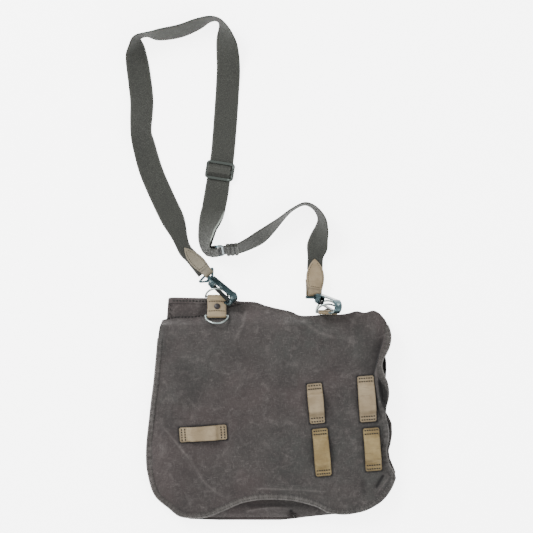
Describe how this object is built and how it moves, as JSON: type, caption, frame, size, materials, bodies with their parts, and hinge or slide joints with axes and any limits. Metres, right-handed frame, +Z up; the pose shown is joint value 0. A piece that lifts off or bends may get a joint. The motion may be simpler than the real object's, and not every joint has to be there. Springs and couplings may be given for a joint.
{
  "type": "messenger bag",
  "caption": "Canvas haversack with a fold-over flap, leather loops and a clip-on webbing shoulder strap with snap hooks.",
  "frame": {"origin": "on the underside of the back panel, at the middle of the bag's width and length, where it lies on a table", "axes": "+X to the wearer's right across the flap, +Y towards the mouth and the strap, +Z up out of the flap's face"},
  "size_m": [0.363, 0.6754, 0.0556],
  "materials": {
    "canvas": "faded cotton canvas",
    "canvas_hem": "folded and stitched canvas tape",
    "webbing": "grey-green woven webbing",
    "pale_leather": "worn pale leather",
    "ochre_leather": "worn ochre leather",
    "nickel": "bright nickel plate, lightly scratched",
    "blued_steel": "blue-black painted steel, edges worn bright",
    "dark_rivet": "dark brown lacquered steel",
    "spring_steel": "bare spring steel"
  },
  "bodies": {
    "bag": {"back_panel": "canvas", "collar": "canvas", "collar_hem": "canvas_hem", "gusset": "canvas", "front_panel": "canvas", "mouth_hem": "canvas_hem", "closing_stud": "dark_rivet", "flap_root": "canvas", "left_tab": "pale_leather", "left_tab_rivet": "dark_rivet", "right_tab": "pale_leather", "right_tab_rivet": "dark_rivet", "long_strap": "webbing", "short_strap": "webbing", "left_strap_end": "pale_leather", "right_strap_end": "pale_leather", "keeper": "webbing", "left_eye": "blued_steel", "right_eye": "blued_steel"},
    "flap": {"flap": "canvas", "flap_binding": "canvas_hem", "closing_tab": "pale_leather", "loop_upper_inner": "pale_leather", "loop_upper_outer": "pale_leather", "loop_lower_inner": "ochre_leather", "loop_lower_outer": "ochre_leather", "loop_side": "pale_leather"},
    "left_hook_ring": {"left_hook_ring": "nickel"},
    "left_spare_ring": {"left_spare_ring": "nickel"},
    "right_hook_ring": {"right_hook_ring": "nickel"},
    "right_spare_ring": {"right_spare_ring": "nickel"},
    "left_hook": {"left_hook_body": "blued_steel", "left_swivel_rivet": "blued_steel", "left_gate_rivet": "blued_steel", "left_gate_spring": "spring_steel"},
    "left_gate": {"left_gate": "blued_steel"},
    "right_hook": {"right_hook_body": "blued_steel", "right_swivel_rivet": "blued_steel", "right_gate_rivet": "blued_steel", "right_gate_spring": "spring_steel"},
    "right_gate": {"right_gate": "blued_steel"},
    "slider": {"slider_frame": "blued_steel", "slider_wrap": "webbing"},
    "strap_ring": {"strap_ring": "blued_steel"}
  },
  "joints": [
    {"name": "flap_hinge", "type": "hinge", "parent": "bag", "child": "flap", "pos_m": [0, 0.11, 0.02], "axis": [-1, 0, 0], "range_deg": [0, 105]},
    {"name": "left_hook_ring_swing", "type": "hinge", "parent": "bag", "child": "left_hook_ring", "pos_m": [-0.0745, 0.1495, 0.0074], "axis": [1, 0, 0], "range_deg": [-2, 2]},
    {"name": "left_spare_ring_swing", "type": "hinge", "parent": "bag", "child": "left_spare_ring", "pos_m": [-0.0745, 0.124, 0.0152], "axis": [-1, 0, 0], "range_deg": [-10, 80]},
    {"name": "right_hook_ring_swing", "type": "hinge", "parent": "bag", "child": "right_hook_ring", "pos_m": [0.075, 0.129, 0.029], "axis": [1, 0, 0], "range_deg": [-2, 2]},
    {"name": "right_spare_ring_swing", "type": "hinge", "parent": "bag", "child": "right_spare_ring", "pos_m": [0.075, 0.129, 0.0034], "axis": [1, 0, 0], "range_deg": [0, 35]},
    {"name": "left_hook_swivel", "type": "hinge", "parent": "bag", "child": "left_hook", "pos_m": [-0.089, 0.179, 0.0125], "axis": [0.712, -0.6757, 0.1908], "range_deg": [-3, 3]},
    {"name": "left_gate_press", "type": "hinge", "parent": "left_hook", "child": "left_gate", "pos_m": [-0.07915, 0.16558, 0.01209], "axis": [-0.6163, -0.4712, 0.631], "range_deg": [0, 5], "stiffness_Nm_per_rad": 0.05, "springref_deg": -11.46},
    {"name": "right_hook_swivel", "type": "hinge", "parent": "bag", "child": "right_hook", "pos_m": [0.056, 0.1525, 0.0125], "axis": [0.6016, -0.3473, 0.7193], "range_deg": [-3, 3]},
    {"name": "right_gate_press", "type": "hinge", "parent": "right_hook", "child": "right_gate", "pos_m": [0.06457, 0.14263, 0.02281], "axis": [-0.7649, 0.0091, 0.6441], "range_deg": [0, 5], "stiffness_Nm_per_rad": 0.05, "springref_deg": -11.46},
    {"name": "slider_travel", "type": "slide", "parent": "bag", "child": "slider", "axis": [0.1564, 0.9877, 0], "range_m": [0, 0.07]},
    {"name": "strap_ring_turn", "type": "hinge", "parent": "bag", "child": "strap_ring", "pos_m": [-0.0706, 0.2116, 0.0186], "axis": [-0.0476, 0.3387, 0.9397], "range_deg": [-3, 3]}
  ]
}
